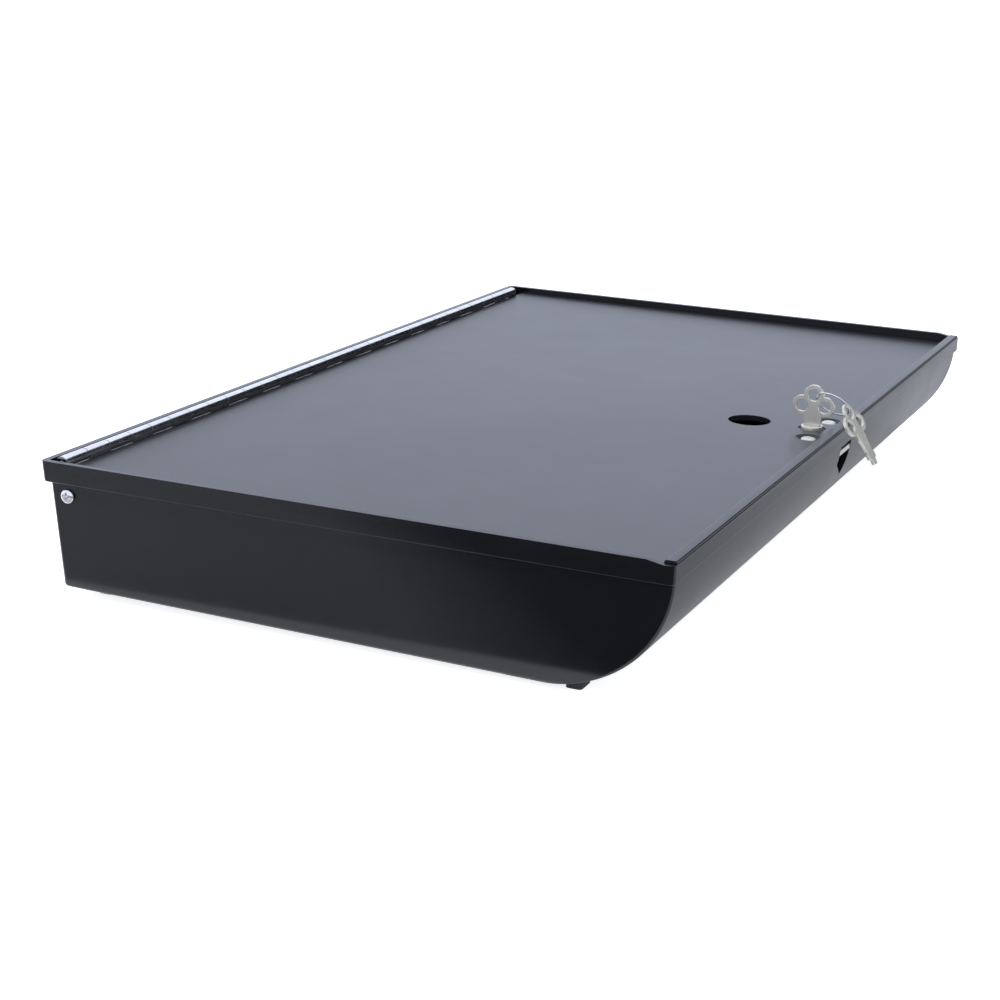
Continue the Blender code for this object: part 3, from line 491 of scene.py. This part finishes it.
def build_tray():
    outer = [(HALF_W, FRONT_Y, REAR_Y, RIM_Z)]
    for step in range(6):
        turn = math.radians(18 * step)
        trim = BAND_EDGE * (1 - math.cos(turn))
        outer.append((HALF_W - trim, FRONT_Y + trim / 2, REAR_Y - REAR_BAND_DRAFT - trim / 2,
                      BAND_Z + BAND_EDGE * (1 - math.sin(turn))))
    outer += body_levels(0.0)
    rim = (HALF_W - RIM_WALL, FRONT_Y + RIM_WALL, REAR_Y - RIM_WALL)
    inner = [(*rim, RIM_Z), (*rim, INNER_LEDGE_Z)] + body_levels(WALL)
    tray = new_object("tray_moulding", tray_skin(outer, inner), BODY)
    low = RIM_Z - LIP_DROP
    above = RIM_Z + 0.002
    outline = [(FRONT_Y - 0.002, low), (FRONT_Y + LIP_RAMP_FRONT, low), (FRONT_Y + LIP_RAMP_REAR, RIM_Z),
               (FRONT_Y + LIP_RAMP_REAR, above), (FRONT_Y - 0.002, above)]
    cut(tray, prism_mesh(outline, "X", -HALF_W - 0.002, HALF_W + 0.002))
    cut(tray, box_mesh((RELIEF_X[0], FRONT_Y - 0.002, low - RELIEF_DEPTH),
                       (RELIEF_X[1], FRONT_Y + RIM_WALL + 0.001, above)))
    slot = [(SLOT_X[0], SLOT_TOP), (SLOT_X[0], SLOT_LEFT_BOTTOM),
            (SLOT_X[1], SLOT_RIGHT_BOTTOM), (SLOT_X[1], SLOT_TOP)]
    cut(tray, prism_mesh(slot, "Y", FRONT_Y - 0.002, FRONT_Y + 0.012))
    for start in (-HALF_W - 0.001, HALF_W - 0.009):
        cut(tray, rod_mesh((start, SCREW_Y, SCREW_Z), SCREW_R + GAP, 0.010, "X", 32))
    round_edges(tray, 0.0003)
    return stand_for(tray, "tray", "black_abs", "base_tray")


# ---- lid ----
def lid_top(y):
    share = (y - RISER_REAR) / (LID_REAR_Y - RISER_REAR)
    return LID_FRONT_Z + (LID_REAR_Z - LID_FRONT_Z) * share


def rivet_positions():
    return [(index - (RIVET_COUNT - 1) / 2) * RIVET_PITCH for index in range(RIVET_COUNT)]


def build_lid():
    edge = 0.0005
    radius = LID_LIP_TOP - LID_FRONT_Z - 0.0016
    cove = arc((RISER_REAR + radius, LID_FRONT_Z + radius), radius, 270, 180, 8)
    brow = arc((RISER_REAR - 0.0012, LID_LIP_TOP - 0.0012), 0.0012, 0, 90, 6)
    nose = arc((LID_LIP_FRONT + 0.0006, LID_LIP_TOP - 0.0006), 0.0006, 90, 180, 5)
    outline = [(LID_REAR_Y, LID_REAR_Z), *cove, *brow, *nose, (LID_LIP_FRONT, RIM_Z - LIP_DROP + LIP_GAP),
               (RISER_FRONT, RIM_Z - LIP_DROP + LIP_GAP), (RISER_FRONT, LID_FRONT_Z - LID_THICK + edge),
               (RISER_FRONT + edge, LID_FRONT_Z - LID_THICK), (LID_REAR_Y, LID_REAR_Z - LID_THICK)]
    lid = new_object("lid_moulding", prism_mesh(outline, "X", -LID_HALF_W, LID_HALF_W), LID)
    fuse(lid, box_mesh((HINGE_X - LEAF_HALF, FLANGE_REAR - FLANGE_THICK, LEAF_BOTTOM),
                       (HINGE_X + LEAF_HALF, FLANGE_REAR, LID_REAR_Z - 0.001)))
    x, y, radius = FINGER_HOLE
    below = LID_FRONT_Z - 0.006
    cut(lid, rod_mesh((x, y, below), radius, 0.012, "Z", 72))
    cut(lid, rod_mesh((0.0, LOCK_Y, below), LOCK_HOLE_R, 0.012, "Z", 56))
    surface = lid_top(LOCK_RIVET_Y)
    hole = LOCK_RIVET_R + GAP
    dish = [(0.0, 0.002), (DISH_R, 0.002), (DISH_R, 0.0), (DISH_FLOOR_R, -DISH_DEPTH), (hole, -DISH_DEPTH),
            (hole, -0.004), (0.0, -0.004)]
    for side in (-1, 1):
        cut(lid, turned_mesh(dish, (side * LOCK_RIVET_X, LOCK_RIVET_Y, surface), "Z", 48))
    for rivet_x in rivet_positions():
        cut(lid, rod_mesh((rivet_x, FLANGE_REAR - FLANGE_THICK - 0.001, LID_RIVET_Z),
                          RIVET_R + GAP, 0.004, "Y", 24))
    round_edges(lid, 0.0002)
    return stand_for(lid, "lid", "black_abs", "lid_panel")


# ---- hinge ----
def knuckle_mesh(low, high, leaf_y, neck_top):
    """Rolled barrel with the neck that joins it to its plate."""
    offset = (leaf_y - HINGE_Y, leaf_y + LEAF_THICK - HINGE_Y)
    start = -math.degrees(math.acos(max(offset[1] / BARREL_R, -1.0)))
    end = -180.0 if neck_top == HINGE_Z else -math.degrees(math.acos(offset[0] / BARREL_R))
    outline = arc((HINGE_Y, HINGE_Z), BARREL_R, start, 360 + end, 36)
    outline += [(leaf_y, LEAF_TOP - 0.0006), (leaf_y + LEAF_THICK, LEAF_TOP - 0.0006)]
    return prism_mesh(outline, "X", low, high)


def build_leaf(name, first, leaf_y, rivet_z, body, cad_node):
    pitch = 2 * BARREL_HALF / KNUCKLES
    leaf = new_object(name, box_mesh((HINGE_X - LEAF_HALF, leaf_y, LEAF_BOTTOM),
                                     (HINGE_X + LEAF_HALF, leaf_y + LEAF_THICK, LEAF_TOP)), CHROME)
    neck_top = HINGE_Z if leaf_y < HINGE_Y - BARREL_R * 0.9 else HINGE_Z - BARREL_R * 0.8
    for index in range(first, KNUCKLES, 2):
        low = HINGE_X - BARREL_HALF + index * pitch + GAP / 2
        fuse(leaf, knuckle_mesh(low, low + pitch - GAP, leaf_y, neck_top))
    start = (HINGE_X - BARREL_HALF - 0.002, HINGE_Y, HINGE_Z)
    cut(leaf, rod_mesh(start, PIN_HOLE_R, 2 * BARREL_HALF + 0.004, "X", 28))
    for rivet_x in rivet_positions():
        cut(leaf, rod_mesh((rivet_x, leaf_y - 0.001, rivet_z), RIVET_R + GAP, LEAF_THICK + 0.002, "Y", 24))
    round_edges(leaf, 0.00010, 2, 40)
    return stand_for(leaf, body, "bright_plated_steel", cad_node)


def build_hinge():
    build_leaf("hinge_fixed_half", 0, FIXED_LEAF_Y, RAIL_RIVET_Z, "tray", "hinge_leaf_fixed")
    build_leaf("hinge_moving_half", 1, MOVING_LEAF_Y, LID_RIVET_Z, "lid", "hinge_leaf_moving")


# ---- side screws ----
def build_side_screws():
    """Pan heads with a cross recess, one through each side wall."""
    for side, name in ((-1, "left"), (1, "right")):
        low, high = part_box("rail_screw_" + name)
        seat = (high.x - 0.0019) if side > 0 else -(low.x + 0.0019)
        tip = -high.x if side < 0 else low.x
        profile = [(0.0, tip), (SCREW_R * 0.7, tip), (SCREW_R, tip + 0.0006), (SCREW_R, seat),
                   (SCREW_HEAD_R - 0.0002, seat), (SCREW_HEAD_R, seat + 0.0003), (SCREW_HEAD_R, seat + 0.0007)]
        for step in range(1, 8):
            angle = math.radians(90.0 * step / 7)
            profile.append((SCREW_HEAD_R * math.cos(angle) if step < 7 else 0.0,
                            seat + 0.0007 + 0.0012 * math.sin(angle)))
        data = turned_mesh(profile, (0.0, 0.0, 0.0), "X", 48)
        if side < 0:
            data.transform(Matrix.Rotation(math.pi, 4, "Z"))
        data.transform(Matrix.Translation((0.0, SCREW_Y, SCREW_Z)))
        screw = new_object("side_screw_" + name, data, CHROME)
        recess = sorted((side * (seat + 0.0003), side * (seat + 0.0030)))
        for wide, tall in ((0.0017, 0.00048), (0.00048, 0.0017)):
            cut(screw, box_mesh((recess[0], SCREW_Y - wide, SCREW_Z - tall),
                                (recess[1], SCREW_Y + wide, SCREW_Z + tall)))
        round_edges(screw, 0.00008, 2)
        stand_for(screw, "tray", "bright_plated_steel", "rail_screw_" + name)


# ---- lock ----
def build_lock():
    top = LID_AT_LOCK - GAP
    shoulder = LID_AT_LOCK - LID_THICK - LOCK_PLATE_THICK - 2 * GAP
    under = shoulder - LOCK_SHOULDER_THICK
    profile = [(LOCK_BORE_R, LOCK_BOTTOM), (LOCK_BODY_R, LOCK_BOTTOM), (LOCK_BODY_R, under),
               (LOCK_SHOULDER_R, under), (LOCK_SHOULDER_R, shoulder), (LOCK_BODY_R, shoulder),
               (LOCK_BODY_R, top), (LOCK_BORE_R, top)]
    case = new_object("lock_case", turned_mesh(profile, (0.0, LOCK_Y, 0.0), "Z", 64), LOCK_CASE)
    round_edges(case, 0.00012, 2)
    stand_for(case, "lid", "dark_lock_metal", "lock_body")

    top = plug_high.z
    stub_end = plug_low.z
    profile = [(0.0, stub_end), (STUB_R, stub_end), (STUB_R, LOCK_BOTTOM - GAP), (PLUG_R, LOCK_BOTTOM - GAP)]
    profile += arc((PLUG_R - 0.0006, top - 0.0006), 0.0006, 0, 90, 5)
    profile.append((0.0, top))
    plug = new_object("lock_barrel", turned_mesh(profile, (0.0, LOCK_Y, 0.0), "Z", 64), NICKEL)
    slot_x = KEY_THICK / 2 + GAP
    slot_y = KEY_BIT_HALF + GAP
    bottom = KEY_TOP.z - KEY_LENGTH - GAP
    cut(plug, box_mesh((-slot_x, LOCK_Y - slot_y, bottom), (slot_x, LOCK_Y + slot_y, top + 0.002)))
    cut(plug, rod_mesh((0.0, LOCK_Y, stub_end - 0.001), CAM_SCREW_R + GAP / 2, 0.0022, "Z", 24))
    round_edges(plug, 0.00010, 2)
    stand_for(plug, "lock", "nickel_plated_brass", "lock_plug")


def build_lock_rivets():
    seat = lid_top(LOCK_RIVET_Y) - DISH_DEPTH + GAP
    tail = LID_AT_LOCK - LID_THICK - LOCK_PLATE_THICK - 0.0012
    steps = 9
    for name, x in (("left", -LOCK_RIVET_X), ("right", LOCK_RIVET_X)):
        profile = [(0.0, tail), (LOCK_RIVET_R, tail), (LOCK_RIVET_R, seat), (LOCK_RIVET_HEAD_R - 0.0001, seat)]
        for step in range(steps):
            turn = math.radians(90.0 * step / steps)
            profile.append((LOCK_RIVET_HEAD_R * math.cos(turn), seat + 0.0001 + (LOCK_RIVET_HEAD - 0.0001) * math.sin(turn)))
        profile.append((0.0, seat + LOCK_RIVET_HEAD))
        data = turned_mesh(profile, (x, LOCK_RIVET_Y, 0.0), "Z", 48)
        rivet = new_object("lock_rivet_head_" + name, data, NICKEL)
        stand_for(rivet, "lid", "nickel_plated_brass", "lock_rivet_" + name)


# ---- keys and ring ----
def key_outline():
    """Three overlapping lobes over a tapered shank with a wider bit, as (across, along) points."""
    half_gap = LOBE_OFFSET / math.sqrt(2)
    reach = math.sqrt(LOBE_R ** 2 - half_gap ** 2) / math.sqrt(2)
    meet = (LOBE_OFFSET / 2 + reach, reach - LOBE_OFFSET / 2)
    top_start = math.degrees(math.atan2(meet[1], meet[0]))
    lobe_end = math.degrees(math.atan2(meet[1] + LOBE_OFFSET, meet[0] - LOBE_OFFSET))
    lobe_start = -90 - math.degrees(math.asin((LOBE_OFFSET - KEY_NECK_HALF) / LOBE_R))
    right = arc((LOBE_OFFSET, -LOBE_OFFSET), LOBE_R, lobe_start, lobe_end, 36)
    top = arc((0.0, 0.0), LOBE_R, top_start, 180 - top_start, 36)
    low = [(KEY_TIP_HALF - 0.0005, -KEY_LENGTH), (KEY_TIP_HALF, 0.0005 - KEY_LENGTH),
           (KEY_TIP_HALF, -KEY_BIT_END), (KEY_BIT_HALF, 0.0006 - KEY_BIT_END), (KEY_BIT_HALF, -KEY_BIT_TOP),
           (KEY_SHANK_END_HALF, 0.0006 - KEY_BIT_TOP), (KEY_SHANK_HALF, -KEY_NECK_END),
           (KEY_NECK_HALF, 0.001 - KEY_NECK_END)]
    right_side = low + right
    left_side = [(-y, z) for y, z in reversed(right_side)]
    return right_side + top[1:-1] + left_side


def key_mesh(name):
    """Flat stamped key: Y across, Z along, X through; its top hole is at the origin."""
    half = KEY_THICK / 2
    key = new_object(name, prism_mesh(key_outline(), "X", -half, half), NICKEL)
    for y, z in ((0.0, 0.0), (-LOBE_OFFSET, -LOBE_OFFSET), (LOBE_OFFSET, -LOBE_OFFSET)):
        cut(key, rod_mesh((-half - 0.001, y, z), KEY_HOLE_R, KEY_THICK + 0.002, "X", 48))
    return key


def build_keys():
    key = key_mesh("standing_key")
    key.data.transform(Matrix.Translation(KEY_TOP))
    round_edges(key, 0.00020, 3)
    stand_for(key, "turning_key", "nickel_plated_brass", "key")

    spare = key_mesh("hanging_spare_key")
    twist = Matrix.Rotation(SPARE_TWIST, 4, "Z")
    lean = Matrix.Rotation(-SPARE_LEAN, 4, "X")
    yaw = Matrix.Rotation(SPARE_YAW, 4, "Z")
    spare.data.transform(Matrix.Translation(SPARE_HOLE) @ yaw @ lean @ twist)
    round_edges(spare, 0.00020, 3)
    stand_for(spare, "hanging_key", "nickel_plated_brass", "spare_key")


def build_ring():
    """Split ring: two turns of fine wire side by side, with cut ends."""
    data = bmesh.new()
    turns = 2
    steps = 96 * turns
    wire = RING_WIRE_R * 0.48
    rings = []
    for step in range(steps + 1):
        angle = 2 * math.pi * turns * step / steps * 0.985
        share = step / steps
        rise = (share - 0.5) * RING_WIRE_R * 1.04
        loop = []
        for side in range(10):
            turn = 2 * math.pi * side / 10
            radius = RING_R + wire * 1.7 * math.cos(turn)
            loop.append(data.verts.new((radius * math.cos(angle), radius * math.sin(angle),
                                        rise + wire * math.sin(turn))))
        rings.append(loop)
    for here, there in zip(rings, rings[1:]):
        for side in range(10):
            after = (side + 1) % 10
            data.faces.new((here[side], there[side], there[after], here[after]))
    data.faces.new(rings[0])
    data.faces.new(rings[-1])
    lean = Vector((0.0, 0.0, 1.0)).rotation_difference(RING_NORMAL).to_matrix().to_4x4()
    data.transform(Matrix.Translation(RING_CENTRE) @ lean)
    ring = new_object("split_ring", data, CHROME)
    stand_for(ring, "ring", "bright_plated_steel", "key_ring")


# ---- CAD nodes that stay ----
def dress_nodes():
    """Welded, slightly rounded edges and a procedural material on each CAD node that is kept."""
    looks = {"coin_divider": (DIVIDER, 0.0004), "note_divider": (DIVIDER, 0.0004), "cross_wall": (DIVIDER, 0.0004),
             "foot": (RUBBER, 0.0003), "hinge_rail": (ZINC, 0.0002), "hinge_pin": (CHROME, 0.0002),
             "strike_plate": (NICKEL, 0.0002), "strike_screw": (ZINC, 0.0001), "rail_rivet": (ZINC, 0.0001),
             "lid_rivet": (ZINC, 0.0001), "lock_nut": (ZINC, 0.0002), "lock_plate": (ZINC, 0.0002),
             "lock_cam": (ZINC, 0.0002), "cam_screw": (ZINC, 0.0001)}
    for name, node in nodes.items():
        for start, (material, width) in looks.items():
            if not name.startswith(start):
                continue
            node.data.materials.clear()
            node.data.materials.append(material)
            weld = node.modifiers.new("weld", "WELD")
            weld.merge_threshold = 0.00001
            round_edges(node, width, 2, 35)


# ---- floor, light and camera ----
def flat_sheet(name, corners, material):
    data = bmesh.new()
    data.faces.new([data.verts.new(corner) for corner in corners])
    sheet = new_object(name, data, material)
    return sheet


def build_stage():
    size = 30.0
    kit = Nodes("pale_floor")
    colour = kit.blend(kit.span(kit.noise(0.8), 0.0, 1.0), (0.90, 0.90, 0.90), (0.92, 0.92, 0.92))
    material = kit.finish(colour, Roughness=0.9)
    kit.shader.inputs["Emission Color"].default_value = (1.0, 1.0, 1.0, 1.0)
    kit.shader.inputs["Emission Strength"].default_value = 0.8
    flat_sheet("floor", [(-size, -size, 0.0), (size, -size, 0.0), (size, size, 0.0), (-size, size, 0.0)], material)


def only_in_reflections(sheet):
    sheet.visible_camera = False
    sheet.visible_diffuse = False
    sheet.visible_shadow = False


def build_flags():
    """Dark cards that only show in glossy surfaces: one low on the left, one to the right of the front."""
    kit = Nodes("soft_edged_black_card")
    across = kit.add("ShaderNodeVectorMath", operation="DOT_PRODUCT")
    across.inputs[1].default_value = (-0.692, -0.722, 0.0)
    kit.link(kit.coords, across.inputs[0])
    fade = kit.span(across.outputs["Value"], 0.0, 1.0, *FLAG_FADE)
    kit.link(fade, kit.shader.inputs["Alpha"])
    card = kit.finish(Base_Color=(0.0, 0.0, 0.0, 1.0), Roughness=1.0)
    low = [(x, y, 0.002) for x, y in ((-0.233, 0.30), (-0.233, -0.60), (-0.80, -0.60), (-0.80, 0.90))]
    only_in_reflections(flat_sheet("low_flag", low, card))

    grey = Nodes("half_see_through_black_card").finish(Base_Color=(0.0, 0.0, 0.0, 1.0), Roughness=1.0,
                                                       Alpha=GREY_CARD)
    left = [(x, y, 0.001) for x, y in ((-0.233, 1.5), (-0.233, -1.5), (-2.0, -1.5), (-2.0, 1.5))]
    only_in_reflections(flat_sheet("left_grey_card", left, grey))
    front = [(x, y, 0.001) for x, y in ((-0.222, -0.06), (2.0, -0.06), (2.0, -1.5), (-0.222, -1.5))]
    only_in_reflections(flat_sheet("front_grey_card", front, grey))

    black = Nodes("black_card").finish(Base_Color=(0.0, 0.0, 0.0, 1.0), Roughness=1.0)
    right = [(1.9, -1.75, 0.0), (1.9, -0.25, 0.0), (1.9, -0.25, 1.6), (1.9, -1.75, 1.6)]
    only_in_reflections(flat_sheet("right_flag", right, black))


def build_light():
    world = bpy.data.worlds.new("white_studio")
    bpy.context.scene.world = world
    world.use_nodes = True
    background = world.node_tree.nodes["Background"]
    background.inputs["Color"].default_value = (1.0, 1.085, 1.3, 1.0)
    background.inputs["Strength"].default_value = 1.0
    bpy.context.scene.view_settings.view_transform = "Standard"


def build_camera():
    data = bpy.data.cameras.new("camera")
    data.lens = 72.97
    data.sensor_width = 36.0
    data.clip_start = 0.01
    data.clip_end = 100.0
    camera = bpy.data.objects.new("camera", data)
    right = Vector((0.41391, -0.90988, 0.02834))
    up = Vector((0.24536, 0.14148, 0.95905))
    back = right.cross(up)
    turn = Matrix((right, up, back)).transposed().to_4x4()
    camera.matrix_world = Matrix.Translation((-0.86927, -0.34478, 0.27797)) @ turn
    bpy.context.scene.collection.objects.link(camera)
    bpy.context.scene.camera = camera


build_camera()
build_light()
build_stage()
build_flags()
build_tray()
build_lid()
build_hinge()
build_side_screws()
build_lock()
build_lock_rivets()
build_keys()
build_ring()
dress_nodes()
